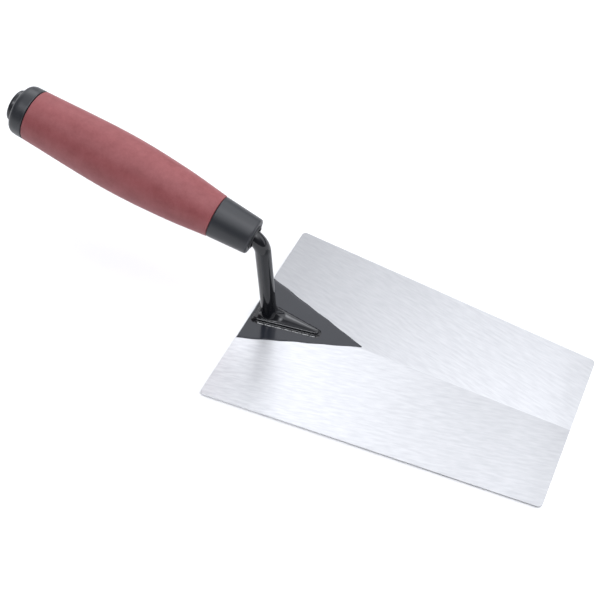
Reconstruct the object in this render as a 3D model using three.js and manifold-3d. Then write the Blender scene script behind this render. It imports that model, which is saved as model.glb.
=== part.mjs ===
// Square-fronted masonry trowel: a ground steel blade, a forged and painted tang, and a soft grip handle.
// Millimetres, +Z up, +X towards the blade's front edge. The origin is on the blade's underside, below
// the shank. The tang and the handle share the plane y = 0. The blade's own middle line is a little to
// one side of it.

import * as THREE from "three";
import { mergeVertices } from "three/addons/utils/BufferGeometryUtils.js";
import Module from "manifold-3d";

// Blade: a flat plate whose upper face is ground thinner towards the two front corners.
const BLADE_LENGTH = 180;
const HEEL_WIDTH = 127;
const FRONT_WIDTH = 97;
const BLADE_THICKNESS = 1.2;
const BLADE_CORNER_RADIUS = 2.5;
const HEEL_OVERHANG = 9.8;
const BLADE_MIDDLE = 1.5;
const GRIND_LENGTH = 105;
const GRIND_DROP = 0.35;

// Tang: a low tapered foot, an upright shank, a bend and a tail inside the handle.
const FOOT_REAR = 7.4;
const FOOT_NOSE = 30;
const FOOT_REAR_HALF_WIDTH = 7.9;
const FOOT_NOSE_HALF_WIDTH = 1.7;
const FOOT_REAR_CORNER = 3.4;
const FOOT_NOSE_CORNER = 1.3;
const FOOT_SIDE = 2.3;
const FOOT_DRAFT = 0.6;
const FOOT_CROWN = 0.6;
const FOOT_CROWN_FADE = 3;
const FOOT_STEPS_LONG = 16;
const FOOT_STEPS_ACROSS = 8;
const SHANK_RADIUS = 4.25;
const SHANK_START = 1;
const SHANK_LEAN = THREE.MathUtils.degToRad(3.7);
const FLARE_RADIUS = 8.2;
const FLARE_HEIGHT = 9;
const FLARE_OVERLAP = 0.2;
const BEND_RADIUS = 9.5;
const TANG_SIDES = 24;
const TANG_STATIONS = 12;

// Tail inside the handle, counted back from the ferrule's front face.
const TAIL_ROUND_END = 24;
const TAIL_OVERLAP = 3;
const TAIL_RADIUS = 3.6;
const TAIL_TAPER = 1;
const THREAD_START = 120;
const THREAD_END = 131;
const THREAD_RADIUS = 3;
const THREAD_CHAMFER = 0.8;

// Weld fillet round the foot.
const WELD_GAP = 0.05;
const WELD_WIDTH = 0.8;
const WELD_TOP_WIDTH = 0.15;
const WELD_HEIGHT = 1.1;

// Handle: everything on one axis, tilted up towards the butt and counted back from the ferrule's front face.
const HANDLE_TILT = 13.85;
const FERRULE_FRONT_HEIGHT = 60.9;
const FERRULE_FRONT_BACKSET = 8.1;
const HANDLE_SIDES = 40;
const FIT_GAP = 0.3;

const FERRULE_LENGTH = 22.1;
const FERRULE_FRONT_RADIUS = 9.75;
const FERRULE_REAR_RADIUS = 11.3;
const FERRULE_LIP = 1.2;
const FERRULE_REAR_RECESS = 3;

const CORE_NOSE_RADIUS = 6.2;
const CORE_NOSE_PROUD = 0.8;
const CORE_NOSE_EDGE = 0.5;
const CORE_FRONT_RADIUS = 8.2;
const CORE_BELLY_RADIUS = 12.4;
const CORE_REAR_RADIUS = 10.6;
const CORE_REAR_STRAIGHT = 128;
const CORE_END = 135.6;
const TAIL_BORE_RADIUS = 4.8;
const POCKET_RADIUS = 7.4;
const POCKET_FLOOR = 121.5;

const GRIP_FRONT_RADIUS = 11.5;
const GRIP_SHOULDER = 26;
const GRIP_SHOULDER_RADIUS = 14.3;
const GRIP_BELLY = 60;
const GRIP_BELLY_RADIUS = 15.7;
const GRIP_END = 130;
const GRIP_REAR_RADIUS = 13.8;
const GRIP_EDGE = 0.5;
const GRIP_STATIONS = 14;
const CORE_STATIONS = 9;

const CAP_REAR_RADIUS = 13.5;
const CAP_END = 138.6;
const CAP_ROUNDING = 3.4;
const CAP_DISH_RADIUS = 9.3;

const PLUG_RADIUS = 8.7;
const PLUG_STEM_RADIUS = 7;
const PLUG_STEM_START = 131.8;
const PLUG_SEAT = 136;
const PLUG_RIM = 141.9;
const PLUG_EDGE = 1;
const PLUG_DOME = 1.1;

const WASHER_RADIUS = 6.9;
const WASHER_THICKNESS = 1.5;
const NUT_ACROSS_FLATS = 10;
const NUT_THICKNESS = 5;
const FASTENER_HOLE_RADIUS = 3.3;
const FASTENER_SIDES = 32;

const wasm = await Module();
wasm.setup();

// A closed three.js geometry as a solid that can be joined and cut.
function toSolid(geometry) {
  const bare = geometry.index ? geometry.toNonIndexed() : geometry.clone();
  bare.deleteAttribute("normal");
  bare.deleteAttribute("uv");
  const merged = mergeVertices(bare, 1e-4);
  const mesh = new wasm.Mesh({
    numProp: 3,
    vertProperties: new Float32Array(merged.attributes.position.array),
    triVerts: new Uint32Array(merged.index.array),
  });
  return new wasm.Manifold(mesh);
}

function toGeometry(solid) {
  const { vertProperties, triVerts } = solid.getMesh();
  const geometry = new THREE.BufferGeometry();
  geometry.setAttribute("position", new THREE.BufferAttribute(new Float32Array(vertProperties), 3));
  geometry.setIndex(new THREE.BufferAttribute(new Uint32Array(triVerts), 1));
  geometry.computeVertexNormals();
  return geometry;
}

function material(color, roughness, metalness) {
  return new THREE.MeshStandardMaterial({ color, roughness, metalness });
}

function named(name, geometry, finish) {
  const mesh = new THREE.Mesh(geometry, finish);
  mesh.name = name;
  return mesh;
}

// A solid of revolution about +Z. The profile lists [radius, z] pairs from the lowest z to the highest.
function turned(profile, sides = HANDLE_SIDES) {
  const points = profile.map(([radius, z]) => new THREE.Vector2(radius, z));
  const geometry = new THREE.LatheGeometry(points, sides);
  geometry.rotateX(Math.PI / 2);
  return geometry;
}

// A turned piece with a hole through it: the outer profile runs up, the bore's profile comes back down.
function turnedRing(outer, bore, sides = HANDLE_SIDES) {
  return turned([...outer, ...bore, outer[0]], sides);
}

// Points on a quarter turn of a profile, from one angle to another in degrees.
function arcPoints(radius, z, size, from, to, steps) {
  return Array.from({ length: steps + 1 }, (_, i) => {
    const angle = THREE.MathUtils.degToRad(from + ((to - from) * i) / steps);
    return [radius + size * Math.cos(angle), z + size * Math.sin(angle)];
  });
}

// A smooth curve through [radius, z] pairs.
function smooth(steps, pairs) {
  const curve = new THREE.SplineCurve(pairs.map(([radius, z]) => new THREE.Vector2(radius, z)));
  return curve.getPoints(steps).map((point) => [point.x, point.y]);
}

// ---------------------------------------------------------------- blade

// The blade's plan, from the middle of its heel edge.
function bladeOutline() {
  const corners = [
    [0, -HEEL_WIDTH / 2],
    [BLADE_LENGTH, -FRONT_WIDTH / 2],
    [BLADE_LENGTH, FRONT_WIDTH / 2],
    [0, HEEL_WIDTH / 2],
  ].map(([x, y]) => new THREE.Vector2(x, y));
  const outline = new THREE.Shape();
  corners.forEach((corner, i) => {
    const before = corners[(i + 3) % 4].clone().sub(corner).setLength(BLADE_CORNER_RADIUS).add(corner);
    const after = corners[(i + 1) % 4].clone().sub(corner).setLength(BLADE_CORNER_RADIUS).add(corner);
    if (i === 0) outline.moveTo(before.x, before.y);
    else outline.lineTo(before.x, before.y);
    outline.quadraticCurveTo(corner.x, corner.y, after.x, after.y);
  });
  outline.closePath();
  return outline;
}

// The metal ground off one half of the upper face: nothing at the middle line, most at the front corner.
function grindCut(side) {
  const margin = 5;
  const length = GRIND_LENGTH + margin;
  const width = HEEL_WIDTH / 2;
  const cut = new THREE.BoxGeometry(length, width, 2 * margin);
  cut.translate(BLADE_LENGTH - GRIND_LENGTH + length / 2, (side * width) / 2, BLADE_THICKNESS + margin);
  const place = cut.attributes.position;
  for (let i = 0; i < place.count; i++) {
    const outer = Math.abs(place.getY(i)) > width / 2;
    const forward = place.getX(i) > BLADE_LENGTH;
    const lower = place.getZ(i) < BLADE_THICKNESS + margin;
    if (outer && forward && lower) place.setZ(i, BLADE_THICKNESS - GRIND_DROP * (width / (FRONT_WIDTH / 2)));
  }
  return cut;
}

function blade() {
  const plate = new THREE.ExtrudeGeometry(bladeOutline(), {
    depth: BLADE_THICKNESS,
    bevelEnabled: false,
    curveSegments: 5,
  });
  const ground = toSolid(plate).subtract(toSolid(grindCut(-1))).subtract(toSolid(grindCut(1)));
  const mesh = named("blade", toGeometry(ground), material(0xe3e6ec, 0.28, 1));
  mesh.position.set(-HEEL_OVERHANG, BLADE_MIDDLE, 0);
  return mesh;
}

// ---------------------------------------------------------------- tang

// How far a rounded end pulls the foot's edge in, at a distance from that end.
function endRounding(distance, radius) {
  if (distance >= radius) return 0;
  return radius - Math.sqrt(radius ** 2 - (radius - distance) ** 2);
}

function footHalfWidth(x) {
  const along = (x + FOOT_REAR) / (FOOT_NOSE + FOOT_REAR);
  const straight = THREE.MathUtils.lerp(FOOT_REAR_HALF_WIDTH, FOOT_NOSE_HALF_WIDTH, along);
  const rearRounding = endRounding(x + FOOT_REAR, FOOT_REAR_CORNER);
  const noseRounding = endRounding(FOOT_NOSE - x, FOOT_NOSE_CORNER);
  return straight - rearRounding - noseRounding;
}

// Height of the foot over the blade: a low crown across its width that fades out at the nose.
function footHeight(x, across) {
  const fade = Math.min(1, (FOOT_NOSE - x) / FOOT_CROWN_FADE);
  return FOOT_SIDE + FOOT_CROWN * fade * (1 - across ** 2);
}

// A box reshaped over the foot's plan, grown by one width at the bottom and another at the top.
// Its stations along the foot crowd towards the two rounded ends.
function footBlock(stepsAcross, bottomGrowth, topGrowth, height) {
  const crowding = 0.13;
  const block = new THREE.BoxGeometry(1, 2, 1, FOOT_STEPS_LONG, stepsAcross, 1);
  const place = block.attributes.position;
  for (let i = 0; i < place.count; i++) {
    const station = place.getX(i) + 0.5;
    const along = station - crowding * Math.sin(2 * Math.PI * station);
    const across = place.getY(i);
    const upper = place.getZ(i) > 0;
    const growth = upper ? topGrowth : bottomGrowth;
    const x = THREE.MathUtils.lerp(-FOOT_REAR, FOOT_NOSE, along);
    place.setX(i, x + growth * (2 * along - 1));
    place.setY(i, across * (footHalfWidth(x) + growth));
    place.setZ(i, BLADE_THICKNESS + (upper ? height(x, across) : 0));
  }
  return block;
}

// The tang's middle line: up the shank, round the bend and back along the handle's axis.
// Its parameter isn't arc length, so that the bend gets as many stations as each straight.
class TangLine extends THREE.Curve {
  constructor(base, corner, end) {
    super();
    const up = corner.clone().sub(base).normalize();
    const back = end.clone().sub(corner).normalize();
    this.turn = up.angleTo(back);
    const tangent = BEND_RADIUS * Math.tan(this.turn / 2);
    this.base = base;
    this.bendStart = corner.clone().addScaledVector(up, -tangent);
    this.bendEnd = corner.clone().addScaledVector(back, tangent);
    this.end = end;
    this.up = up;
    this.inward = new THREE.Vector3(-up.z, 0, up.x);
  }

  getUtoTmapping(u) {
    return u;
  }

  getPoint(t, target = new THREE.Vector3()) {
    if (t < 1 / 6) return target.lerpVectors(this.base, this.bendStart, t * 6);
    if (t > 5 / 6) return target.lerpVectors(this.bendEnd, this.end, t * 6 - 5);
    const angle = this.turn * (t * 1.5 - 0.25);
    return target
      .copy(this.bendStart)
      .addScaledVector(this.up, BEND_RADIUS * Math.sin(angle))
      .addScaledVector(this.inward, BEND_RADIUS * (1 - Math.cos(angle)));
  }
}

const handleBack = new THREE.Vector3(
  -Math.cos(THREE.MathUtils.degToRad(HANDLE_TILT)),
  0,
  Math.sin(THREE.MathUtils.degToRad(HANDLE_TILT)),
);
const ferruleFront = new THREE.Vector3(-FERRULE_FRONT_BACKSET, 0, FERRULE_FRONT_HEIGHT);

// From the handle's own frame, whose +Z runs back along its axis, to the trowel's.
const handleFrame = new THREE.Matrix4()
  .makeRotationY(THREE.MathUtils.degToRad(HANDLE_TILT - 90))
  .setPosition(ferruleFront);

// Where the shank's middle line meets the handle's axis.
function tangCorner() {
  const rise = (FERRULE_FRONT_HEIGHT - BLADE_THICKNESS) * Math.cos(SHANK_LEAN);
  const offset = FERRULE_FRONT_BACKSET * Math.cos(SHANK_LEAN) - rise * Math.tan(SHANK_LEAN);
  const forward = offset / Math.cos(SHANK_LEAN + THREE.MathUtils.degToRad(HANDLE_TILT));
  return ferruleFront.clone().addScaledVector(handleBack, -forward);
}

// The round bar from the foot up, round the bend and into the handle.
function shankAndBend(radius) {
  const section = new THREE.Shape();
  section.absarc(0, 0, radius, 0, 2 * Math.PI, false);
  const base = new THREE.Vector3(-SHANK_START * Math.tan(SHANK_LEAN), 0, BLADE_THICKNESS + SHANK_START);
  const end = ferruleFront.clone().addScaledVector(handleBack, TAIL_ROUND_END);
  return new THREE.ExtrudeGeometry(section, {
    steps: TANG_STATIONS,
    curveSegments: TANG_SIDES,
    extrudePath: new TangLine(base, tangCorner(), end),
  });
}

// The concave flare that joins the shank to the foot.
function flare() {
  const steps = 6;
  const profile = Array.from({ length: steps + 1 }, (_, i) => {
    const angle = ((Math.PI / 2) * i) / steps;
    const inset = (FLARE_RADIUS - SHANK_RADIUS + FLARE_OVERLAP) * Math.sin(angle);
    return [FLARE_RADIUS - inset, FLARE_HEIGHT * (1 - Math.cos(angle))];
  });
  const geometry = turned([[0, 0], ...profile, [0, FLARE_HEIGHT]], TANG_SIDES);
  geometry.translate(0, 0, BLADE_THICKNESS + SHANK_START);
  return geometry;
}

function tail() {
  const start = TAIL_ROUND_END - TAIL_OVERLAP;
  const profile = [
    [0, start],
    [TAIL_RADIUS, start],
    [TAIL_RADIUS, THREAD_START - TAIL_TAPER],
    [THREAD_RADIUS, THREAD_START],
    [THREAD_RADIUS, THREAD_END - THREAD_CHAMFER],
    [THREAD_RADIUS - THREAD_CHAMFER, THREAD_END],
    [0, THREAD_END],
  ];
  return turned(profile, TANG_SIDES).applyMatrix4(handleFrame);
}

function tang() {
  const foot = toSolid(footBlock(FOOT_STEPS_ACROSS, 0, -FOOT_DRAFT, footHeight));
  const footColumn = toSolid(footBlock(1, 0, 0, () => 2 * FLARE_HEIGHT));
  const root = toSolid(flare()).intersect(footColumn);
  const bar = toSolid(shankAndBend(SHANK_RADIUS)).add(toSolid(tail()));
  return named("tang", toGeometry(foot.add(root).add(bar)), material(0x17191d, 0.22, 0));
}

function footWeld() {
  const bead = footBlock(1, WELD_GAP + WELD_WIDTH, WELD_GAP + WELD_TOP_WIDTH, () => WELD_HEIGHT);
  const hole = footBlock(1, WELD_GAP, WELD_GAP, () => 2 * WELD_HEIGHT);
  hole.translate(0, 0, -WELD_HEIGHT / 2);
  const ring = toSolid(bead).subtract(toSolid(hole));
  return named("foot_weld", toGeometry(ring), material(0x1b1d21, 0.3, 0));
}

// ---------------------------------------------------------------- handle

function ferruleRadius(z) {
  return THREE.MathUtils.mapLinear(z, 0, FERRULE_LENGTH, FERRULE_FRONT_RADIUS, FERRULE_REAR_RADIUS);
}

function ferrule() {
  const bore = CORE_NOSE_RADIUS + FIT_GAP;
  const rear = FERRULE_LENGTH - FIT_GAP;
  const recess = rear - FERRULE_REAR_RECESS;
  const outer = [
    [bore, 0],
    ...arcPoints(FERRULE_FRONT_RADIUS - FERRULE_LIP, FERRULE_LIP, FERRULE_LIP, -90, 0, 5),
    [ferruleRadius(rear), rear],
  ];
  const inner = [
    [CORE_FRONT_RADIUS + FIT_GAP, rear],
    [CORE_FRONT_RADIUS + FIT_GAP, recess],
    [bore, recess],
  ];
  return named("ferrule", turnedRing(outer, inner), material(0x3c4046, 0.5, 0));
}

// The core's swelling under the grip, grown by a gap, as [radius, z] pairs from front to rear.
function coreSwell(gap) {
  return smooth(CORE_STATIONS, [
    [CORE_FRONT_RADIUS + gap, FERRULE_LENGTH],
    [CORE_BELLY_RADIUS + gap, FERRULE_LENGTH + GRIP_BELLY],
    [CORE_REAR_RADIUS + gap, CORE_REAR_STRAIGHT],
  ]);
}

function handleCore() {
  const shoulder = FERRULE_LENGTH - FERRULE_REAR_RECESS;
  const outer = [
    [TAIL_BORE_RADIUS, -CORE_NOSE_PROUD],
    [CORE_NOSE_RADIUS - CORE_NOSE_EDGE, -CORE_NOSE_PROUD],
    [CORE_NOSE_RADIUS, CORE_NOSE_EDGE - CORE_NOSE_PROUD],
    [CORE_NOSE_RADIUS, shoulder],
    [CORE_FRONT_RADIUS, shoulder],
    ...coreSwell(0),
    [CORE_REAR_RADIUS, CORE_END],
  ];
  const inner = [
    [POCKET_RADIUS, CORE_END],
    [POCKET_RADIUS, POCKET_FLOOR],
    [TAIL_BORE_RADIUS, POCKET_FLOOR],
  ];
  const seat = shankAndBend(SHANK_RADIUS + FIT_GAP).applyMatrix4(handleFrame.clone().invert());
  const core = toSolid(turnedRing(outer, inner)).subtract(toSolid(seat));
  return named("handle_core", toGeometry(core), material(0x2b2d31, 0.55, 0));
}

function gripSleeve() {
  const front = FERRULE_LENGTH;
  const bore = coreSwell(FIT_GAP);
  const outer = [
    bore[0],
    [GRIP_FRONT_RADIUS - GRIP_EDGE, front],
    ...smooth(GRIP_STATIONS, [
      [GRIP_FRONT_RADIUS, front + GRIP_EDGE],
      [GRIP_SHOULDER_RADIUS, front + GRIP_SHOULDER],
      [GRIP_BELLY_RADIUS, front + GRIP_BELLY],
      [GRIP_REAR_RADIUS, GRIP_END - GRIP_EDGE],
    ]),
    [GRIP_REAR_RADIUS - GRIP_EDGE, GRIP_END],
  ];
  const inner = [[CORE_REAR_RADIUS + FIT_GAP, GRIP_END], ...bore.slice(1).reverse()];
  return named("grip_sleeve", turnedRing(outer, inner), material(0x9a4a4d, 0.62, 0));
}

function buttCap() {
  const front = GRIP_END + FIT_GAP;
  const outer = [
    [CORE_REAR_RADIUS + FIT_GAP, front],
    [GRIP_REAR_RADIUS, front],
    ...arcPoints(CAP_REAR_RADIUS - CAP_ROUNDING, CAP_END - CAP_ROUNDING, CAP_ROUNDING, 0, 90, 6),
    [CAP_DISH_RADIUS, CAP_END],
  ];
  const inner = [
    [CAP_DISH_RADIUS, CORE_END + FIT_GAP],
    [CORE_REAR_RADIUS + FIT_GAP, CORE_END + FIT_GAP],
  ];
  return named("butt_cap", turnedRing(outer, inner), material(0x33373d, 0.5, 0));
}

function buttPlug() {
  const profile = [
    [0, PLUG_STEM_START],
    [PLUG_STEM_RADIUS, PLUG_STEM_START],
    [PLUG_STEM_RADIUS, PLUG_SEAT],
    [PLUG_RADIUS, PLUG_SEAT],
    ...arcPoints(PLUG_RADIUS - PLUG_EDGE, PLUG_RIM - PLUG_EDGE, PLUG_EDGE, 0, 70, 3),
    [PLUG_RADIUS / 2, PLUG_RIM + 0.75 * PLUG_DOME],
    [0, PLUG_RIM + PLUG_DOME],
  ];
  return named("butt_plug", turned(profile), material(0x1d2024, 0.35, 0));
}

function tangWasher() {
  const floor = POCKET_FLOOR + FIT_GAP;
  const outer = [
    [FASTENER_HOLE_RADIUS, floor],
    [WASHER_RADIUS, floor],
    [WASHER_RADIUS, floor + WASHER_THICKNESS],
  ];
  const washer = turnedRing(outer, [[FASTENER_HOLE_RADIUS, floor + WASHER_THICKNESS]], FASTENER_SIDES);
  return named("tang_washer", washer, material(0xb9bcc0, 0.35, 1));
}

function tangNut() {
  const hexagon = new THREE.Shape();
  const cornerRadius = NUT_ACROSS_FLATS / 2 / Math.cos(Math.PI / 6);
  for (let i = 0; i < 6; i++) {
    const angle = (Math.PI / 3) * i;
    const x = cornerRadius * Math.cos(angle);
    const y = cornerRadius * Math.sin(angle);
    if (i === 0) hexagon.moveTo(x, y);
    else hexagon.lineTo(x, y);
  }
  hexagon.closePath();
  const hole = new THREE.Path();
  hole.absarc(0, 0, FASTENER_HOLE_RADIUS, 0, 2 * Math.PI, true);
  hexagon.holes.push(hole);
  const nut = new THREE.ExtrudeGeometry(hexagon, {
    depth: NUT_THICKNESS,
    bevelEnabled: false,
    curveSegments: FASTENER_SIDES / 2,
  });
  const mesh = named("tang_nut", nut, material(0xb9bcc0, 0.35, 1));
  mesh.position.z = POCKET_FLOOR + 2 * FIT_GAP + WASHER_THICKNESS;
  return mesh;
}

// The group's +Z axis is the handle's axis, from the ferrule's front face back to the butt.
function handle() {
  const group = new THREE.Group();
  group.add(handleCore(), ferrule(), gripSleeve(), buttCap(), buttPlug(), tangWasher(), tangNut());
  group.applyMatrix4(handleFrame);
  return group;
}

const trowel = new THREE.Group();
trowel.add(blade(), tang(), footWeld(), handle());

export default trowel;
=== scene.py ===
"""A square-fronted masonry trowel: ground steel blade, black painted tang and a soft grip handle.

Lengths in the named values are millimetres. Meshes are made in millimetres in the row's frame
(+X to the blade's front edge, +Z up) and written in metres.
"""

import math

import bpy
import bmesh
import numpy as np
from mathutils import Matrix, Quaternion, Vector


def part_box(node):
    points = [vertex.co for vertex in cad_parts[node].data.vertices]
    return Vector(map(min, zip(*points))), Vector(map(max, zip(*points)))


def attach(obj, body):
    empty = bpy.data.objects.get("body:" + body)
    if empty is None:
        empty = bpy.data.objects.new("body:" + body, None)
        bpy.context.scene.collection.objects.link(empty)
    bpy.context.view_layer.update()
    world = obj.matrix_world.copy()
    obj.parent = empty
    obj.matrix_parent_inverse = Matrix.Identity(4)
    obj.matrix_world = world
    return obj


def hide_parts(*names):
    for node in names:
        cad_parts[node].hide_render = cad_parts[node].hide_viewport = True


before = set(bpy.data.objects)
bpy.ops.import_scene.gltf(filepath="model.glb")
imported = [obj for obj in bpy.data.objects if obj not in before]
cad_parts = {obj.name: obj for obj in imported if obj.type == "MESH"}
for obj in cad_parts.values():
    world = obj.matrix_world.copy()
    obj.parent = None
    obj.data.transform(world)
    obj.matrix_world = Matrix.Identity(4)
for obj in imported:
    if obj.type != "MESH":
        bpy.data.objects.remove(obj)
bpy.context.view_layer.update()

MM = 0.001
TAU = 2 * math.pi

# Blade and its paint
FRONT_SHARE = 97 / 127
BLADE_CORNER = 2.5
BLADE_EDGE = 0.22
BLADE_EDGE_STEPS = 3
BLADE_CELL = 4.0
BLADE_CORNER_STEPS = 10
GRIND_LENGTH = 105
GRIND_DROP = 0.3
BLADE_WAVE = 0.012
GRAIN_ANGLE = math.radians(13)
STEEL_DARK = (0.49, 0.495, 0.512)
STEEL_LIGHT = (0.68, 0.685, 0.695)
STEEL_ROUGHNESS = 0.45
STEEL_ANISOTROPY = 0.5
# Streaks of the grain: length, width and levels of detail
FINE_STREAKS = (7, 0.3, 2.0)
COARSE_STREAKS = (8, 1.4, 4.0)
FINE_SHARE = 0.35
GRAIN_CONTRAST = (0.12, 0.88)
GRAIN_SHIFT = 500
# Painted reflection: these tones scale the steel's colour so that each half of the blade is lighter or darker
# from heel to front, where its mirrored grain catches more or less light. They also make the steel a little
# darker towards the far side and at the front edge.
NEAR_PAINTED_REFLECTION_FADE = (-60, 150)
NEAR_PAINTED_REFLECTION_HEEL = 1.18
NEAR_PAINTED_REFLECTION_FRONT = 0.73
FAR_PAINTED_REFLECTION_FADE = (-30, 130)
FAR_PAINTED_REFLECTION_HEEL = 0.7
FAR_PAINTED_REFLECTION_FRONT = 1.0
CROSS_PAINTED_REFLECTION = 0.0022
FRONT_PAINTED_REFLECTION_FADE = (148, 172)
FRONT_PAINTED_REFLECTION = 0.9
PAINT_LENGTH = 64
PAINT_HALF_WIDTH = 23.3
PAINT_APEX_ASIDE = 1.1
PAINT_APEX_HALF = 0.35
PAINT_INSET = 0.35
PAINT_LIFT = 0.01
PAINT_THICKNESS = 0.07
PAINT_RIM_SHARE = 0.25
PAINT_SWAY = 0.16
PAINT_ROWS = 120
PAINT_COLUMNS = 40

# Tang
FOOT_REAR = 7.4
FOOT_NOSE = 30
FOOT_REAR_HALF = 7.8
FOOT_NOSE_HALF = 1.8
FOOT_REAR_CORNER = 3.4
FOOT_NOSE_CORNER = 1.6
FOOT_CORNER_STEPS = 24
FOOT_SIDE = 2.35
FOOT_DRAFT = math.radians(14)
FOOT_RIM = 0.9
FOOT_RIM_STEPS = 6
FOOT_CROWN = 0.6
FOOT_CROWN_FULL_HALF = 3.5
FOOT_CROWN_FADE = 3
SHANK_RADIUS = 4.25
SHANK_LEAN = math.radians(3.7)
ROOT_HEIGHT = 5
ROOT_FRONT_HEIGHT = 8
ROOT_REACH = 2.6
ROOT_FRONT_REACH = 5.2
ROOT_FRONT_NARROWING = 2.5
ROOT_SOFTNESS = 4.0
ROOT_STEPS = 30
ROOT_SPACING = 0.8
SHANK_STATIONS = 22
BEND_RADIUS = 9.5
BEND_STATIONS = 25
TAIL_START = 24
TAIL_RADIUS = 3.6
TAIL_SPACING = 4
TAIL_TIP_RADIUS = 2.2
THREAD_LENGTH = 11
THREAD_MIDDLE_RADIUS = 2.8
THREAD_PITCH = 1.25
THREAD_DEPTH = 0.35
THREAD_STATIONS_PER_TURN = 6
WELD_WIDTH = 1.2
WELD_HEIGHT = 0.9
WELD_HOLLOW = 0.35
WELD_STEPS = 7
WELD_LIFT = 0.02
WELD_WALL = 0.35
# Lumps round the weld: how many, how deep and where they start
WELD_LUMPS = ((23, 0.09, 0), (41, 0.06, 1))
RING_POINTS = 192

# Handle
LATHE_STEPS = 160
FIT_GAP = 0.3
GRIP_FRONT_RADIUS = 11.5
GRIP_SHOULDER = 26
GRIP_SHOULDER_RADIUS = 14.3
GRIP_BELLY = 60
GRIP_REAR_RADIUS = 13.8
GRIP_EDGE = 0.7
FERRULE_FRONT_RADIUS = 9.7
FERRULE_REAR_RADIUS = 11.3
FERRULE_LIP = 1.3
FERRULE_RECESS = 3
CORE_NOSE_RADIUS = 6.2
CORE_FRONT_RADIUS = 8.2
CORE_REAR_RADIUS = 10.6
CORE_SWELL = 3
CORE_MOUTH_FLARE = 1.1
CORE_MOUTH_DEPTH = 2.2
POCKET_RADIUS = 7.4
CAP_REAR_RADIUS = 13.5
CAP_ROUNDING = 3.6
CAP_DISH_RADIUS = 9.3
PLUG_STEM_RADIUS = 7
PLUG_DOME = 1.1
CORE_STATIONS = 24
SPLINE_STEPS = 24
SMALL_ROUNDING = 0.3
SEAM_ROUNDING = 0.45
FASTENER_HOLE = 3.3
NUT_CHAMFER = 0.5
PROFILE_STEP = 1.5
FINE_STEP = 0.8

# Stage and light
FLOOR_HALF = 60
FLOOR_DROP = 0.3
# Each lamp: the way to it, its angular spread and its brightness
SKY_LAMPS = (
    ((-0.26, 0.76, 0.6), math.radians(8), 4.1),
    ((0.35, 0.03, 0.94), math.radians(22), 5.0),
    ((-0.1, -0.5, 0.86), math.radians(7), 15.0),
)
WALL_FOOT = (math.radians(8), math.radians(30))
WALL_TOP = (math.radians(57), math.radians(71))
WALL_LEVEL = 1.65
ROOM_LEVEL = 0.12
SKY_TINT = (0.975, 0.99, 1.035)
BACKDROP = (0.9, 0.9, 0.9, 1)

# Camera
CAMERA_AIM = Vector((0.010, 0.018, 0))
CAMERA_DISTANCE = 0.5777
CAMERA_AZIMUTH = math.radians(24.52)
CAMERA_ELEVATION = math.radians(51.13)
CAMERA_ROLL = math.radians(1.44)
CAMERA_LENS = 62.02
CAMERA_SENSOR = 36


# ---------------------------------------------------------------- places taken from the frame

def node_points(node):
    """The node's vertices in millimetres."""
    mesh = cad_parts[node].data
    places = np.empty(len(mesh.vertices) * 3)
    mesh.vertices.foreach_get("co", places)
    return places.reshape(-1, 3) / MM


def middle(node):
    """The mean of a turned node's separate vertices, which lies on its axis."""
    return np.unique(node_points(node).round(3), axis=0).mean(axis=0)


blade_low, blade_high = (np.array(corner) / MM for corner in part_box("blade"))
BLADE_TOP = blade_high[2]
BLADE_MIDDLE = (blade_low[1] + blade_high[1]) / 2
HEEL = blade_low[0]
FRONT = blade_high[0]
HEEL_HALF = (blade_high[1] - blade_low[1]) / 2

handle_axis = middle("butt_plug") - middle("ferrule")
handle_axis[1] = 0
handle_axis /= np.linalg.norm(handle_axis)
handle_side = np.array([0.0, 1.0, 0.0])
handle_top = np.cross(handle_side, handle_axis) * -1
ferrule_depths = (node_points("ferrule") - middle("ferrule")) @ handle_axis
handle_origin = middle("ferrule") + handle_axis * ferrule_depths.min()


def span(node):
    """A handle node's first and last distance behind the ferrule's front face."""
    depths = (node_points(node) - handle_origin) @ handle_axis
    return depths.min(), depths.max()


def reach(node):
    """A handle node's greatest radius."""
    arms = node_points(node) - handle_origin
    return np.linalg.norm(arms - np.outer(arms @ handle_axis, handle_axis), axis=1).max()


def on_handle(depths, radii, turns):
    """Points at distances behind the ferrule's face, radii and angles round the handle's axis."""
    depths, radii, turns = np.broadcast_arrays(depths, radii, turns)
    out = np.outer(radii * np.cos(turns), handle_side) + np.outer(radii * np.sin(turns), handle_top)
    return handle_origin + np.outer(depths, handle_axis) + out


# ---------------------------------------------------------------- mesh helpers

def lerp(a, b, share):
    return a + (b - a) * share


def smoothstep(low, high, value):
    share = np.clip((value - low) / (high - low), 0, 1)
    return share * share * (3 - 2 * share)


def piece(name, vertices, faces, material, replaces=()):
    """A mesh in millimetres becomes a named piece on the trowel's one body."""
    mesh = bpy.data.meshes.new(name)
    mesh.from_pydata((np.asarray(vertices) * MM).tolist(), [], [list(face) for face in faces])
    made = bmesh.new()
    made.from_mesh(mesh)
    bmesh.ops.recalc_face_normals(made, faces=made.faces)
    made.to_mesh(mesh)
    made.free()
    mesh.shade_smooth()
    mesh.materials.append(material)
    thing = bpy.data.objects.new(name, mesh)
    bpy.context.scene.collection.objects.link(thing)
    normals = thing.modifiers.new("even_flats", "WEIGHTED_NORMAL")
    normals.weight = 60
    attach(thing, "root")
    if replaces:
        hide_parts(*replaces)
    return thing


def skin(rings, closed=False):
    """Faces between rings of equally many points. A closed skin joins the last ring to the first."""
    count = len(rings[0])
    faces = []
    for ring in range(len(rings) if closed else len(rings) - 1):
        here = ring * count
        there = (ring + 1) % len(rings) * count
        for i in range(count):
            j = (i + 1) % count
            faces.append((here + i, here + j, there + j, there + i))
    return faces


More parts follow.
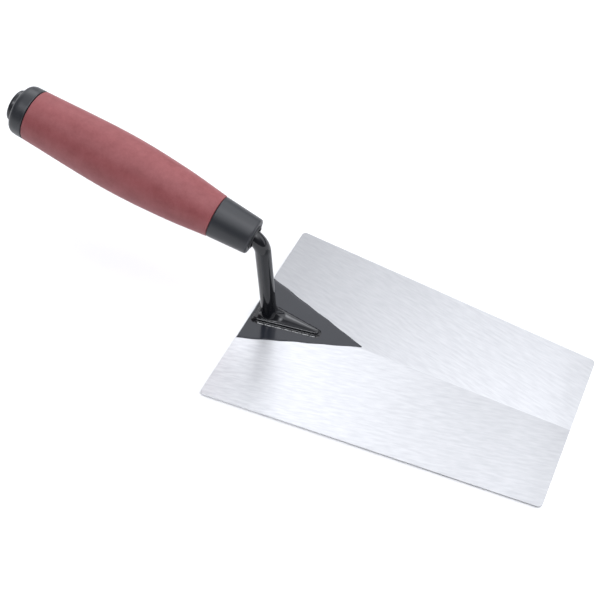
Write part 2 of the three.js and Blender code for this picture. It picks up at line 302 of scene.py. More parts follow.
def rounded(corners, closed=True, steps=6):
    """A profile with each (depth, radius, rounding) corner turned into a short curve."""
    points = []
    spots = [np.array(corner[:2], float) for corner in corners]
    for i, (corner, spot) in enumerate(zip(corners, spots)):
        size = corner[2]
        at_end = not closed and i in (0, len(spots) - 1)
        if size == 0 or at_end:
            points.append(spot)
            continue
        before = spots[i - 1] - spot
        after = spots[(i + 1) % len(spots)] - spot
        start = spot + before / np.linalg.norm(before) * size
        end = spot + after / np.linalg.norm(after) * size
        for share in np.linspace(0, 1, steps + 1):
            points.append((1 - share) ** 2 * start + 2 * share * (1 - share) * spot + share**2 * end)
    return points


def resampled(points, longest, closed=True):
    """The same profile with no stretch longer than the given length."""
    dense = []
    for i, point in enumerate(points):
        dense.append(point)
        if not closed and i == len(points) - 1:
            break
        towards = points[(i + 1) % len(points)] - point
        cuts = math.ceil(np.linalg.norm(towards) / longest)
        dense.extend(point + towards * cut / cuts for cut in range(1, cuts))
    return dense


def turned(name, corners, material, replaces, longest=PROFILE_STEP):
    """A ring turned about the handle's axis from a closed profile."""
    profile = resampled(rounded(corners), longest)
    turns = np.arange(LATHE_STEPS) * TAU / LATHE_STEPS
    rings = [on_handle(depth, radius, turns) for depth, radius in profile]
    return piece(name, np.vstack(rings), skin(rings, closed=True), material, replaces)


def turned_solid(name, corners, material, replaces, longest=PROFILE_STEP):
    """A solid turned about the handle's axis. Its profile starts and ends on the axis."""
    profile = resampled(rounded(corners, closed=False), longest, closed=False)
    turns = np.arange(LATHE_STEPS) * TAU / LATHE_STEPS
    rings = [on_handle(depth, radius, turns) for depth, radius in profile[1:-1]]
    vertices = np.vstack(rings + [on_handle(depth, 0, 0) for depth, _ in (profile[0], profile[-1])])
    first, last = len(vertices) - 2, len(vertices) - 1
    faces = skin(rings)
    end = (len(rings) - 1) * LATHE_STEPS
    for i in range(LATHE_STEPS):
        j = (i + 1) % LATHE_STEPS
        faces.append((first, j, i))
        faces.append((last, end + i, end + j))
    return piece(name, vertices, faces, material, replaces)


def spline(points, steps):
    """A smooth curve through (depth, radius) points."""
    points = [np.array(point, float) for point in points]
    ends = [2 * points[0] - points[1], *points, 2 * points[-1] - points[-2]]
    curve = []
    for a, b, c, d in zip(ends, ends[1:], ends[2:], ends[3:]):
        for share in np.linspace(0, 1, steps, endpoint=False):
            curve.append(
                0.5 * (2 * b + (c - a) * share + (2 * a - 5 * b + 4 * c - d) * share**2
                       + (3 * b - a - 3 * c + d) * share**3)
            )
    curve.append(points[-1])
    return curve


# ---------------------------------------------------------------- material helpers

def add(tree, kind, inputs=None, **settings):
    """A node with its settings and inputs. An input is a value or another node's output."""
    made = tree.nodes.new(kind)
    for key, value in settings.items():
        setattr(made, key, value)
    for key, value in (inputs or {}).items():
        if isinstance(value, bpy.types.NodeSocket):
            tree.links.new(value, made.inputs[key])
        else:
            made.inputs[key].default_value = value
    return made


def math_node(tree, operation, a, b=0.0):
    return add(tree, "ShaderNodeMath", {0: a, 1: b}, operation=operation).outputs[0]


def stretch(tree, value, low, high):
    """Maps 0..1 to low..high."""
    return add(tree, "ShaderNodeMapRange", {"Value": value, "To Min": low, "To Max": high}).outputs[0]


def eased(tree, value, start, end, first, last):
    """Goes smoothly from the first level to the last as the value goes from start to end."""
    inputs = {"Value": value, "From Min": start, "From Max": end, "To Min": first, "To Max": last}
    return add(tree, "ShaderNodeMapRange", inputs, interpolation_type="SMOOTHSTEP").outputs[0]


def noise(tree, place, scale, detail=3.0, roughness=0.5):
    inputs = {"Vector": place, "Scale": scale, "Detail": detail, "Roughness": roughness}
    return add(tree, "ShaderNodeTexNoise", inputs).outputs["Fac"]


def bump(tree, height, strength, distance, normal=None):
    inputs = {"Height": height, "Strength": strength, "Distance": distance * MM}
    if normal:
        inputs["Normal"] = normal
    return add(tree, "ShaderNodeBump", inputs).outputs["Normal"]


def mixed(tree, factor, low, high):
    """The colour between two others at a factor of 0..1."""
    made = add(tree, "ShaderNodeMixRGB", {"Fac": factor, "Color1": (*low, 1), "Color2": (*high, 1)})
    return made.outputs[0]


def new_material(name):
    """A material, its node tree, its main shader and the place on the object in millimetres."""
    material = bpy.data.materials.new(name)
    material.use_nodes = True
    tree = material.node_tree
    shader = tree.nodes["Principled BSDF"]
    place = add(tree, "ShaderNodeTexCoord").outputs["Object"]
    scaled = add(tree, "ShaderNodeVectorMath", {0: place, "Scale": 1 / MM}, operation="SCALE").outputs[0]
    return material, tree, shader, scaled


def drive(tree, shader, **inputs):
    for name, value in inputs.items():
        socket = shader.inputs[name.replace("_", " ")]
        if isinstance(value, bpy.types.NodeSocket):
            tree.links.new(value, socket)
        else:
            socket.default_value = value


# ---------------------------------------------------------------- materials

def ground_steel():
    """Bright ground steel. The grain runs at a small angle to the middle line, mirrored across it. Its colour
    carries painted reflection: each half is lighter or darker from heel to front, and the steel is darker
    towards the far side and at the front edge.
    """
    material, tree, shader, place = new_material("ground_steel")
    x, y, _ = add(tree, "ShaderNodeSeparateXYZ", {0: place}).outputs
    aside = math_node(tree, "SUBTRACT", y, BLADE_MIDDLE)
    far = math_node(tree, "GREATER_THAN", aside, 0.0)
    near = math_node(tree, "SUBTRACT", 1.0, far)
    out = math_node(tree, "ABSOLUTE", aside)
    cos, sin = math.cos(GRAIN_ANGLE), math.sin(GRAIN_ANGLE)

    def weighted(a, a_weight, b, b_weight):
        first = math_node(tree, "MULTIPLY", a, a_weight)
        second = math_node(tree, "MULTIPLY", b, b_weight)
        return math_node(tree, "ADD", first, second)

    along = weighted(x, cos, out, -sin)
    shift = math_node(tree, "MULTIPLY", far, GRAIN_SHIFT)
    across = math_node(tree, "ADD", weighted(x, sin, out, cos), shift)

    def streaks(length, width, detail):
        stretched_along = math_node(tree, "DIVIDE", along, length)
        stretched_across = math_node(tree, "DIVIDE", across, width)
        spread = add(tree, "ShaderNodeCombineXYZ", {0: stretched_along, 1: stretched_across}).outputs[0]
        return noise(tree, spread, 1.0, detail)

    fine = streaks(*FINE_STREAKS)
    coarse = streaks(*COARSE_STREAKS)
    patchy = noise(tree, place, 0.03, 2.0)
    # Painted reflection: lighter and darker tones along each half, across the blade and at the front edge are
    # multiplied into the steel's colour.
    near_painted_reflection = eased(tree, x, *NEAR_PAINTED_REFLECTION_FADE, NEAR_PAINTED_REFLECTION_HEEL, NEAR_PAINTED_REFLECTION_FRONT)
    far_painted_reflection = eased(tree, x, *FAR_PAINTED_REFLECTION_FADE, FAR_PAINTED_REFLECTION_HEEL, FAR_PAINTED_REFLECTION_FRONT)
    halves_painted_reflection = weighted(far, far_painted_reflection, near, near_painted_reflection)
    cross_painted_reflection = math_node(tree, "SUBTRACT", 1.0, math_node(tree, "MULTIPLY", aside, CROSS_PAINTED_REFLECTION))
    front_painted_reflection = eased(tree, x, *FRONT_PAINTED_REFLECTION_FADE, 1.0, FRONT_PAINTED_REFLECTION)
    tone = math_node(tree, "MULTIPLY", math_node(tree, "MULTIPLY", halves_painted_reflection, cross_painted_reflection), front_painted_reflection)
    both = weighted(fine, FINE_SHARE, coarse, 1 - FINE_SHARE)
    grain = eased(tree, both, *GRAIN_CONTRAST, 0.0, 1.0)
    base = mixed(tree, grain, STEEL_DARK, STEEL_LIGHT)
    colour = add(tree, "ShaderNodeVectorMath", {0: base, "Scale": tone}, operation="SCALE").outputs[0]
    wear = math_node(tree, "ADD", stretch(tree, coarse, -0.05, 0.05), stretch(tree, patchy, -0.03, 0.03))
    polish = stretch(tree, fine, STEEL_ROUGHNESS - 0.05, STEEL_ROUGHNESS + 0.05)
    roughness = math_node(tree, "ADD", polish, wear)
    # The reflections spread across the grain.
    sideways = stretch(tree, far, -sin, sin)
    tangent = add(tree, "ShaderNodeCombineXYZ", {0: sideways, 1: cos}).outputs[0]
    normal = bump(tree, coarse, 0.25, 0.01, bump(tree, fine, 0.3, 0.006))
    drive(tree, shader, Base_Color=colour, Metallic=1.0, Roughness=roughness,
          Anisotropic=STEEL_ANISOTROPY, Tangent=tangent, Normal=normal)
    return material


def gloss_paint(name, dark, light, roughness, peel):
    """Black gloss paint with a little orange peel."""
    material, tree, shader, place = new_material(name)
    uneven = noise(tree, place, 0.12, 3.0)
    colour = mixed(tree, uneven, dark, light)
    skin_bump = bump(tree, noise(tree, place, 0.7, 2.0), peel, 0.02)
    grit = bump(tree, noise(tree, place, 5.0, 2.0), 0.08, 0.01, skin_bump)
    gloss = stretch(tree, uneven, roughness - 0.03, roughness + 0.04)
    drive(tree, shader, Base_Color=colour, Roughness=gloss, IOR=1.5, Normal=grit)
    return material


def moulded_plastic(name, dark, light, roughness):
    """Satin moulded plastic with a fine eroded grain."""
    material, tree, shader, place = new_material(name)
    patch = noise(tree, place, 0.08, 3.0)
    grain = noise(tree, place, 4.0, 3.0, 0.6)
    grained = stretch(tree, grain, roughness - 0.05, roughness + 0.05)
    satin = math_node(tree, "ADD", grained, stretch(tree, patch, -0.04, 0.04))
    drive(tree, shader, Base_Color=mixed(tree, patch, dark, light), Roughness=satin,
          Normal=bump(tree, grain, 0.25, 0.03))
    return material


def grip_rubber():
    """Maroon soft-touch rubber: mottled, dull, with a pale bloom where it's seen edge on."""
    material, tree, shader, place = new_material("grip_rubber")
    mottle = noise(tree, place, 0.12, 6.0, 0.75)
    grain = noise(tree, place, 3.0, 3.0, 0.6)
    colour = mixed(tree, mottle, (0.160, 0.024, 0.027), (0.365, 0.110, 0.116))
    drive(tree, shader, Base_Color=colour, Roughness=stretch(tree, grain, 0.48, 0.62),
          Specular_IOR_Level=0.42,
          Sheen_Weight=0.1, Sheen_Roughness=0.4, Sheen_Tint=(0.9, 0.82, 0.82, 1),
          Normal=bump(tree, grain, 0.3, 0.03, bump(tree, mottle, 0.2, 0.1)))
    return material


def zinc_steel():
    """Zinc-plated steel with a faint spangle."""
    material, tree, shader, place = new_material("zinc_steel")
    spangle = noise(tree, place, 0.8, 3.0)
    colour = mixed(tree, spangle, (0.55, 0.56, 0.58), (0.68, 0.69, 0.7))
    drive(tree, shader, Base_Color=colour, Metallic=1.0, Roughness=stretch(tree, spangle, 0.25, 0.42),
          Normal=bump(tree, spangle, 0.2, 0.02))
    return material


steel = ground_steel()
tang_paint = gloss_paint("tang_gloss_paint", (0.006, 0.0065, 0.008), (0.010, 0.0105, 0.013), 0.07, 0.12)
blade_paint = gloss_paint("blade_gloss_paint", (0.014, 0.016, 0.021), (0.019, 0.021, 0.027), 0.12, 0.2)
collar_plastic = moulded_plastic("collar_plastic", (0.016, 0.0175, 0.021), (0.024, 0.026, 0.031), 0.4)
core_plastic = moulded_plastic("core_plastic", (0.022, 0.023, 0.026), (0.030, 0.031, 0.034), 0.45)
plug_plastic = moulded_plastic("plug_plastic", (0.016, 0.017, 0.020), (0.024, 0.025, 0.029), 0.28)
rubber = grip_rubber()
zinc = zinc_steel()


# ---------------------------------------------------------------- blade

def grind_drop(x, y):
    """How far the grinding has lowered the upper face."""
    forward = np.clip((x - (FRONT - GRIND_LENGTH)) / GRIND_LENGTH, 0, 1)
    return GRIND_DROP * forward * np.abs(y - BLADE_MIDDLE) / (HEEL_HALF * FRONT_SHARE)


def wave(x, y):
    """The plate isn't perfectly flat: long, shallow waves."""
    return BLADE_WAVE * (np.sin(x / 23 + y / 31) + 0.6 * np.sin(x / 41 - y / 17 + 1.3))


def blade_plate():
    """The plate, cut into cells that follow the grinding and the shallow waves."""
    half = (HEEL_HALF, HEEL_HALF * FRONT_SHARE)
    corners = [(HEEL, -half[0], BLADE_CORNER), (FRONT, -half[1], BLADE_CORNER),
               (FRONT, half[1], BLADE_CORNER), (HEEL, half[0], BLADE_CORNER)]
    outline = [(x, y + BLADE_MIDDLE) for x, y in rounded(corners, steps=BLADE_CORNER_STEPS)]
    plate = bmesh.new()
    lower = [plate.verts.new((x, y, 0)) for x, y in outline]
    upper = [plate.verts.new((x, y, BLADE_TOP)) for x, y in outline]
    plate.faces.new(reversed(lower))
    plate.faces.new(upper)
    for i in range(len(outline)):
        j = (i + 1) % len(outline)
        plate.faces.new((lower[i], lower[j], upper[j], upper[i]))
    rims = [e for e in plate.edges if abs(e.verts[0].co.z - e.verts[1].co.z) < 1e-6]
    bmesh.ops.bevel(plate, geom=rims, offset=BLADE_EDGE, segments=BLADE_EDGE_STEPS, profile=0.5,
                    affect="EDGES")
    for axis, low, high in ((0, HEEL, FRONT), (1, BLADE_MIDDLE - HEEL_HALF, BLADE_MIDDLE + HEEL_HALF)):
        direction = Vector((1 - axis, axis, 0))
        cuts = 2 * round((high - low) / BLADE_CELL / 2)
        for cut in range(1, cuts):
            everything = plate.verts[:] + plate.edges[:] + plate.faces[:]
            place = direction * lerp(low, high, cut / cuts)
            bmesh.ops.bisect_plane(plate, geom=everything, plane_co=place, plane_no=direction, dist=1e-4)
    for v in plate.verts:
        if v.co.z > BLADE_TOP / 2:
            v.co.z -= grind_drop(v.co.x, v.co.y)
        v.co.z += wave(v.co.x, v.co.y) * smoothstep(PAINT_LENGTH, 2 * PAINT_LENGTH, v.co.x - HEEL)
    plate.verts.index_update()
    vertices = [tuple(v.co) for v in plate.verts]
    # The cuts leave the faces in no set order, so they are sorted to give the same mesh every time.
    faces = sorted([v.index for v in f.verts] for f in plate.faces)
    plate.free()
    return piece("blade_plate", vertices, faces, steel, ["blade"])


def paint_sway(x, phase):
    """The brushed edge of the paint wanders a little."""
    return PAINT_SWAY * (math.sin(x / 2.3 + phase) + 0.7 * math.sin(x / 5.3 + 2 * phase))


def paint_patch():
    """The painted triangle on the blade's heel, a thin film with slightly wavy brushed edges."""
    rows, columns = PAINT_ROWS, PAINT_COLUMNS
    vertices = []
    for level in (0, 1):
        for row in range(rows + 1):
            share = row / rows
            x = HEEL + lerp(PAINT_INSET, PAINT_LENGTH, share)
            middle_line = BLADE_MIDDLE + PAINT_APEX_ASIDE * share
            half = lerp(PAINT_HALF_WIDTH, PAINT_APEX_HALF, share)
            calm = 1 - share**6
            for column in range(columns + 1):
                across = 2 * column / columns - 1
                sway = calm * across**2 * paint_sway(x, math.copysign(1, across))
                rim = row in (0, rows) or column in (0, columns)
                height = level * PAINT_THICKNESS * (PAINT_RIM_SHARE if rim else 1)
                vertices.append((x, middle_line + across * half + sway, BLADE_TOP + PAINT_LIFT + height))
    width = columns + 1
    layer = width * (rows + 1)
    faces = []
    for row in range(rows):
        for column in range(columns):
            a = row * width + column
            b, c, d = a + 1, a + 1 + width, a + width
            faces.append((a, d, c, b))
            faces.append((layer + a, layer + b, layer + c, layer + d))
    rim = [row * width for row in range(rows)]
    rim += [rows * width + column for column in range(columns)]
    rim += [row * width + columns for row in range(rows, 0, -1)]
    rim += list(range(columns, 0, -1))
    for a, b in zip(rim, rim[1:] + rim[:1]):
        faces.append((a, b, layer + b, layer + a))
    return piece("heel_paint", vertices, faces, blade_paint)


# ---------------------------------------------------------------- tang

def foot_outline():
    """The foot's plan as evenly spaced points, from the middle of its nose, and its inward normals."""
    corners = [(FOOT_NOSE, FOOT_NOSE_HALF, FOOT_NOSE_CORNER),
               (-FOOT_REAR, FOOT_REAR_HALF, FOOT_REAR_CORNER),
               (-FOOT_REAR, -FOOT_REAR_HALF, FOOT_REAR_CORNER),
               (FOOT_NOSE, -FOOT_NOSE_HALF, FOOT_NOSE_CORNER)]
    nose = np.array([FOOT_NOSE, 0.0])
    loop = np.array([nose, *rounded(corners, steps=FOOT_CORNER_STEPS), nose])
    runs = np.concatenate([[0], np.cumsum(np.linalg.norm(np.diff(loop, axis=0), axis=1))])
    wanted = np.linspace(0, runs[-1], RING_POINTS, endpoint=False)
    outline = np.column_stack([np.interp(wanted, runs, loop[:, axis]) for axis in (0, 1)])
    ahead = np.roll(outline, -1, axis=0) - np.roll(outline, 1, axis=0)
    inward = np.column_stack([-ahead[:, 1], ahead[:, 0]])
    return outline, inward / np.linalg.norm(inward, axis=1)[:, None]


def foot_crown(x, y):
    """Height of the foot's gently arched top over its rim."""
    inset = (FOOT_SIDE - FOOT_RIM) * math.tan(FOOT_DRAFT) + FOOT_RIM * math.cos(FOOT_DRAFT)
    half = lerp(FOOT_REAR_HALF, FOOT_NOSE_HALF, (x + FOOT_REAR) / (FOOT_NOSE + FOOT_REAR)) - inset
    across = np.clip(np.abs(y) / half, 0, 1)
    crown = FOOT_CROWN * np.clip(half / FOOT_CROWN_FULL_HALF, 0, 1)
    front = smoothstep(0, FOOT_CROWN_FADE, FOOT_NOSE - inset - x)
    rear = smoothstep(0, FOOT_CROWN_FADE, x + FOOT_REAR - inset)
    return crown * (1 - across**2) * front * rear


def foot_rings():
    """Rings from the foot's underside up its drafted wall and over its rim. The last is the rim's top."""
    outline, inward = foot_outline()
    wall = FOOT_SIDE - FOOT_RIM
    steps = [(wall * share * math.tan(FOOT_DRAFT), wall * share) for share in (0, 0.5, 1)]
    for angle in np.linspace(FOOT_DRAFT, math.pi / 2, FOOT_RIM_STEPS + 1)[1:]:
        over = FOOT_RIM * (math.cos(FOOT_DRAFT) - math.cos(angle))
        rise = FOOT_RIM * (math.sin(angle) - math.sin(FOOT_DRAFT))
        steps.append((wall * math.tan(FOOT_DRAFT) + over, wall + rise))
    level = np.full(RING_POINTS, BLADE_TOP)
    return [np.column_stack([outline + inward * inset, level + height]) for inset, height in steps]


def root_rings(rim):
    """Rings from the foot's rim over its arched top and up the concave root of the shank."""
    away = np.linalg.norm(rim[:, :2], axis=1)
    heading = rim[:, :2] / away[:, None]
    room = away - SHANK_RADIUS
    front = ((1 + heading[:, 0]) / 2) ** ROOT_FRONT_NARROWING
    wanted = lerp(ROOT_REACH, ROOT_FRONT_REACH, front)
    reach_out = (room**-ROOT_SOFTNESS + wanted**-ROOT_SOFTNESS) ** (-1 / ROOT_SOFTNESS)
    rings = []
    for step in range(1, ROOT_STEPS + 1):
        gap = room * (1 - (step / ROOT_STEPS) ** ROOT_SPACING)
        spot = heading * (SHANK_RADIUS + gap)[:, None]
        near = np.clip(1 - gap / reach_out, 0, 1)
        root = lerp(ROOT_HEIGHT, ROOT_FRONT_HEIGHT, front) * (1 - np.sqrt(1 - near**2))
        height = rim[:, 2] + foot_crown(spot[:, 0], spot[:, 1]) + root
        lean = (height - BLADE_TOP) * math.tan(SHANK_LEAN) * near
        rings.append(np.column_stack([spot[:, 0] - lean, spot[:, 1], height]))
    return rings


def tang():
    """The foot, its root, the shank, the bend and the threaded tail as one skin."""
    rings = foot_rings()
    rings += root_rings(rings[-1])
    angles = np.unwrap(np.arctan2(rings[-1][:, 1], rings[-1][:, 0]))
    even = angles[0] + np.arange(RING_POINTS) * TAU / RING_POINTS
    up = np.array([-math.sin(SHANK_LEAN), 0, math.cos(SHANK_LEAN)])
    inward = np.array([-up[2], 0, up[0]])
    base = np.array([0.0, 0.0, BLADE_TOP])
    # The shank's middle line meets the handle's axis in one corner, which the bend rounds off.
    gap = handle_origin - base
    cross = up[0] * handle_axis[2] - up[2] * handle_axis[0]
    rise = (gap[0] * handle_axis[2] - gap[2] * handle_axis[0]) / cross
    turn = math.acos(np.dot(up, handle_axis))
    bend_start = rise - BEND_RADIUS * math.tan(turn / 2)
    root_top = (rings[-1][:, 2].max() - BLADE_TOP) / math.cos(SHANK_LEAN) + PROFILE_STEP

    def station(centre, heading, radius, spread=1.0):
        """One ring round the bar. Its points go from the foot's angles to even ones as it spreads."""
        forward = np.array([heading[2], 0, -heading[0]])
        turns = lerp(angles, even, spread)
        size = radius(turns) if callable(radius) else radius
        out = np.outer(np.cos(turns), forward) + np.outer(np.sin(turns), handle_side)
        rings.append(centre + out * np.reshape(size, (-1, 1)))

    for share in np.linspace(0, 1, SHANK_STATIONS):
        station(base + up * lerp(root_top, bend_start, share), up, SHANK_RADIUS, smoothstep(0, 1, share))
    for angle in np.linspace(0, turn, BEND_STATIONS)[1:]:
        round_the_bend = up * math.sin(angle) + inward * (1 - math.cos(angle))
        centre = base + up * bend_start + BEND_RADIUS * round_the_bend
        station(centre, up * math.cos(angle) + inward * math.sin(angle), SHANK_RADIUS)
    entry = np.dot(centre - handle_origin, handle_axis)
    tail_end = span("tang")[1]
    thread_start = tail_end - THREAD_LENGTH

    def tail_station(depth, radius):
        station(handle_origin + handle_axis * depth, handle_axis, radius)

    for depth in np.arange(entry + 1, TAIL_START, PROFILE_STEP):
        tail_station(depth, SHANK_RADIUS)
    for depth in np.arange(TAIL_START, thread_start - 1, TAIL_SPACING):
        tail_station(depth, TAIL_RADIUS)
    for depth in np.arange(thread_start, tail_end - 0.5, THREAD_PITCH / THREAD_STATIONS_PER_TURN):
        fade = smoothstep(0, 1, depth - thread_start) * smoothstep(0, 1, tail_end - depth)

        def thread(turns, depth=depth, fade=fade):
            return THREAD_MIDDLE_RADIUS + THREAD_DEPTH / 2 * fade * np.cos(turns - depth * TAU / THREAD_PITCH)

        tail_station(depth, thread)
    tail_station(tail_end, TAIL_TIP_RADIUS)
    faces = skin(rings)
    faces.append(tuple(range(RING_POINTS)))
    faces.append(tuple((len(rings) - 1) * RING_POINTS + i for i in range(RING_POINTS)))
    return piece("tang_bar", np.vstack(rings), faces, tang_paint, ["tang"])


def foot_weld():
    """The small fillet of weld under the paint, all the way round the foot."""
    outline, inward = foot_outline()
    run = np.arange(RING_POINTS) * TAU / RING_POINTS
    lumps = 1 + sum(depth * np.sin(count * run + start) for count, depth, start in WELD_LUMPS)
    wall = [(-WELD_WALL, 0.0), (-WELD_WALL, WELD_HEIGHT)]
    fillet = []
    for share in np.linspace(0, 1, WELD_STEPS):
        angle = math.pi / 2 * (1 - share)
        away = lerp(share, 1 - math.sin(angle), WELD_HOLLOW)
        height = lerp(1 - share, 1 - math.cos(angle), WELD_HOLLOW)
        fillet.append((WELD_WIDTH * away * lumps, WELD_HEIGHT * height))
    loops = []
    for away, height in wall + fillet:
        out = np.broadcast_to(away, RING_POINTS)[:, None]
        level = np.full(RING_POINTS, BLADE_TOP + WELD_LIFT + height)
        loops.append(np.column_stack([outline - inward * out, level]))
    faces = skin(loops, closed=True)
    return piece("foot_weld_bead", np.vstack(loops), faces, tang_paint, ["foot_weld"])


# ---------------------------------------------------------------- handle

def core_radius(depth):
    """The core's radius under the grip."""
    low, high = span("grip_sleeve")
    share = np.clip((depth - low) / (high - low), 0, 1)
    return lerp(CORE_FRONT_RADIUS, CORE_REAR_RADIUS, share) + CORE_SWELL * math.sin(math.pi * share)


def grip():
    """The soft sleeve: a barrel that swells towards its belly, over the core."""
    front, rear = span("grip_sleeve")
    outer = spline([(front, GRIP_FRONT_RADIUS), (front + GRIP_SHOULDER, GRIP_SHOULDER_RADIUS),
                    (front + GRIP_BELLY, reach("grip_sleeve")), (rear, GRIP_REAR_RADIUS)], SPLINE_STEPS)
    corners = [(*outer[0], GRIP_EDGE), *[(*point, 0) for point in outer[1:-1]], (*outer[-1], GRIP_EDGE)]
    depths = np.linspace(rear, front, CORE_STATIONS)
    inner = [(depth, core_radius(depth) + FIT_GAP, 0) for depth in depths]
    return turned("grip_skin", corners + inner, rubber, ["grip_sleeve"])


def ferrule():
    """The collar at the front of the handle, with a recess for the core's shoulder."""
    front, rear = span("ferrule")
    bore = CORE_NOSE_RADIUS + FIT_GAP
    recess = CORE_FRONT_RADIUS + FIT_GAP
    corners = [(front, bore, SMALL_ROUNDING), (front, FERRULE_FRONT_RADIUS, FERRULE_LIP),
               (rear, FERRULE_REAR_RADIUS, SEAM_ROUNDING), (rear, recess, 0),
               (rear - FERRULE_RECESS, recess, 0), (rear - FERRULE_RECESS, bore, 0)]
    return turned("ferrule_collar", corners, collar_plastic, ["ferrule"])


def core():
    """The rigid core. Its bore flares at the mouth, where the bend is still turning into it."""
    front, rear = span("handle_core")
    shoulder = span("ferrule")[1] - FERRULE_RECESS + FIT_GAP
    low, high = span("grip_sleeve")
    pocket = span("tang_washer")[0] - FIT_GAP
    bore = SHANK_RADIUS + FIT_GAP
    corners = [(front, bore + CORE_MOUTH_FLARE, 0.1), (front, CORE_NOSE_RADIUS, 0.25),
               (shoulder, CORE_NOSE_RADIUS, 0),
               (shoulder, CORE_FRONT_RADIUS, 0), (low, CORE_FRONT_RADIUS, 0)]
    corners += [(depth, core_radius(depth), 0) for depth in np.linspace(low, high, CORE_STATIONS)[1:]]
    corners += [(rear, CORE_REAR_RADIUS, SMALL_ROUNDING), (rear, POCKET_RADIUS, SMALL_ROUNDING),
                (pocket, POCKET_RADIUS, 0), (pocket, bore, 0.2), (front + CORE_MOUTH_DEPTH, bore, 0)]
    return turned("core_body", corners, core_plastic, ["handle_core"])


def cap():
    """The ring at the end of the handle."""
    front, rear = span("butt_cap")
    seat = span("handle_core")[1] + FIT_GAP
    bore = CORE_REAR_RADIUS + FIT_GAP
    corners = [(front, bore, 0), (front, GRIP_REAR_RADIUS, SEAM_ROUNDING),
               (rear, CAP_REAR_RADIUS, CAP_ROUNDING),
               (rear, CAP_DISH_RADIUS, 0.4), (seat, CAP_DISH_RADIUS, 0), (seat, bore, 0)]
    return turned("butt_ring", corners, collar_plastic, ["butt_cap"], FINE_STEP)


def plug():
    """The domed disc in the middle of the butt, on a stem in the core's pocket."""
    front, rear = span("butt_plug")
    seat = span("handle_core")[1] + FIT_GAP
    radius = reach("butt_plug")
    corners = [(front, 0, 0), (front, PLUG_STEM_RADIUS, 0.4), (seat, PLUG_STEM_RADIUS, 0),
               (seat, radius, 0.2),
               (rear - PLUG_DOME, radius, 1.2), (rear - PLUG_DOME / 4, radius / 2, 2), (rear, 0, 0)]
    return turned_solid("butt_disc", corners, plug_plastic, ["butt_plug"], FINE_STEP)


def washer():
    """The flat washer under the nut."""
    front, rear = span("tang_washer")
    radius = reach("tang_washer")
    corners = [(front, FASTENER_HOLE, 0.1), (front, radius, SMALL_ROUNDING),
               (rear, radius, SMALL_ROUNDING), (rear, FASTENER_HOLE, 0.1)]
    return turned("tail_washer", corners, zinc, ["tang_washer"], FINE_STEP)


def nut():
    """A hexagon nut with its corners turned off at both ends."""
    front, rear = span("tang_nut")
    corner = reach("tang_nut")
    flat = corner * math.cos(math.pi / 6)
    chamfer = NUT_CHAMFER
    turns = np.arange(LATHE_STEPS) * TAU / LATHE_STEPS
    hexagon = flat / np.cos((turns + math.pi / 6) % (math.pi / 3) - math.pi / 6)
    rings = []
    for depth, limit in ((front, flat), (front + chamfer, corner), (rear - chamfer, corner), (rear, flat)):
        rings.append(on_handle(depth, np.minimum(hexagon, limit), turns))
    for depth, radius in ((rear, FASTENER_HOLE + chamfer), (rear - chamfer, FASTENER_HOLE),
                          (front + chamfer, FASTENER_HOLE), (front, FASTENER_HOLE + chamfer)):
        rings.append(on_handle(depth, radius, turns))
    faces = skin(rings, closed=True)
    return piece("tail_nut", np.vstack(rings), faces, zinc, ["tang_nut"])


# ---------------------------------------------------------------- stage

def floor():
    """A plain pale floor, just below the blade."""
    mesh = bpy.data.meshes.new("floor")
    far = FLOOR_HALF
    mesh.from_pydata([(-far, -far, 0), (far, -far, 0), (far, far, 0), (-far, far, 0)], [], [(0, 1, 2, 3)])
    thing = bpy.data.objects.new("floor", mesh)
    thing.location.z = -FLOOR_DROP * MM
    bpy.context.scene.collection.objects.link(thing)
    material, tree, shader, place = new_material("floor_paper")
    tone = noise(tree, place, 0.004, 2.0)
    colour = mixed(tree, tone, (0.93, 0.93, 0.93), (0.95, 0.95, 0.95))
    drive(tree, shader, Base_Color=colour, Roughness=0.9, Specular_IOR_Level=0.1)
    mesh.materials.append(material)


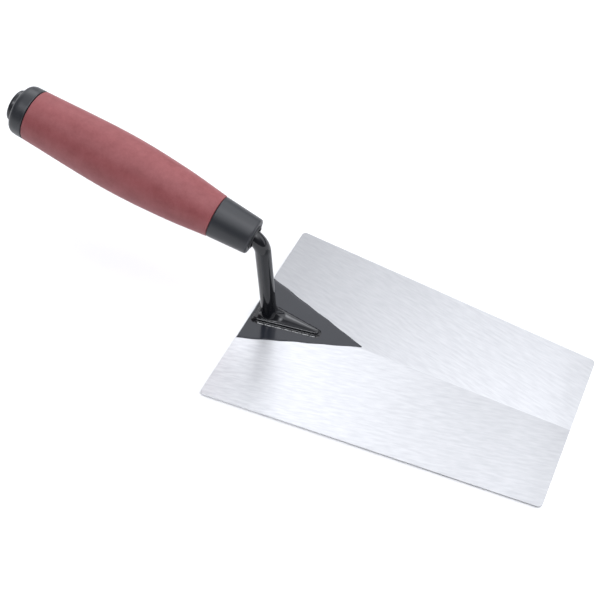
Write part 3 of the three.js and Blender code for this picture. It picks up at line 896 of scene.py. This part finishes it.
def sky():
    """A studio surround: a dim room with a bright wall behind the trowel and soft lamps over it."""
    world = bpy.data.worlds.new("studio")
    bpy.context.scene.world = world
    world.use_nodes = True
    tree = world.node_tree
    direction = add(tree, "ShaderNodeTexCoord").outputs["Generated"]
    _, back, up = add(tree, "ShaderNodeSeparateXYZ", {0: direction}).outputs
    height = math_node(tree, "ARCTAN2", up, back)
    foot = eased(tree, height, *WALL_FOOT, 0.0, 1.0)
    top = eased(tree, height, *WALL_TOP, 1.0, 0.0)
    wall = math_node(tree, "MULTIPLY", foot, top)
    level = stretch(tree, wall, ROOM_LEVEL, WALL_LEVEL)
    for towards, spread, peak in SKY_LAMPS:
        lamp = Vector(towards).normalized()
        both = {0: direction, 1: lamp}
        facing = add(tree, "ShaderNodeVectorMath", both, operation="DOT_PRODUCT").outputs[1]
        angle = math_node(tree, "DIVIDE", math_node(tree, "ARCCOSINE", facing), spread)
        falling = math_node(tree, "MULTIPLY", math_node(tree, "MULTIPLY", angle, angle), -1.0)
        glow = math_node(tree, "MULTIPLY", math_node(tree, "EXPONENT", falling), peak)
        level = math_node(tree, "ADD", level, glow)
    light = add(tree, "ShaderNodeVectorMath", {0: SKY_TINT, "Scale": level}, operation="SCALE").outputs[0]
    # The lamps light the trowel and show in its reflections. The camera sees a plain backdrop.
    seen = add(tree, "ShaderNodeLightPath").outputs["Is Camera Ray"]
    colour = add(tree, "ShaderNodeMixRGB", {"Fac": seen, "Color1": light, "Color2": BACKDROP}).outputs[0]
    tree.links.new(colour, tree.nodes["Background"].inputs["Color"])


def camera():
    """The camera, aimed at the trowel from above its near side."""
    data = bpy.data.cameras.new("camera")
    data.sensor_width = CAMERA_SENSOR
    data.lens = CAMERA_LENS
    data.clip_start = 0.01
    lens = bpy.data.objects.new("camera", data)
    level = math.cos(CAMERA_ELEVATION)
    side, front = math.sin(CAMERA_AZIMUTH) * level, -math.cos(CAMERA_AZIMUTH) * level
    back = Vector((side, front, math.sin(CAMERA_ELEVATION)))
    lens.location = CAMERA_AIM + back * CAMERA_DISTANCE
    turn = (-back).to_track_quat("-Z", "Y")
    lens.rotation_mode = "QUATERNION"
    lens.rotation_quaternion = turn @ Quaternion((0, 0, 1), CAMERA_ROLL)
    bpy.context.scene.collection.objects.link(lens)
    bpy.context.scene.camera = lens


blade_plate()
paint_patch()
tang()
foot_weld()
core()
ferrule()
grip()
cap()
plug()
washer()
nut()
floor()
sky()
camera()
bpy.context.scene.view_settings.view_transform = "Standard"
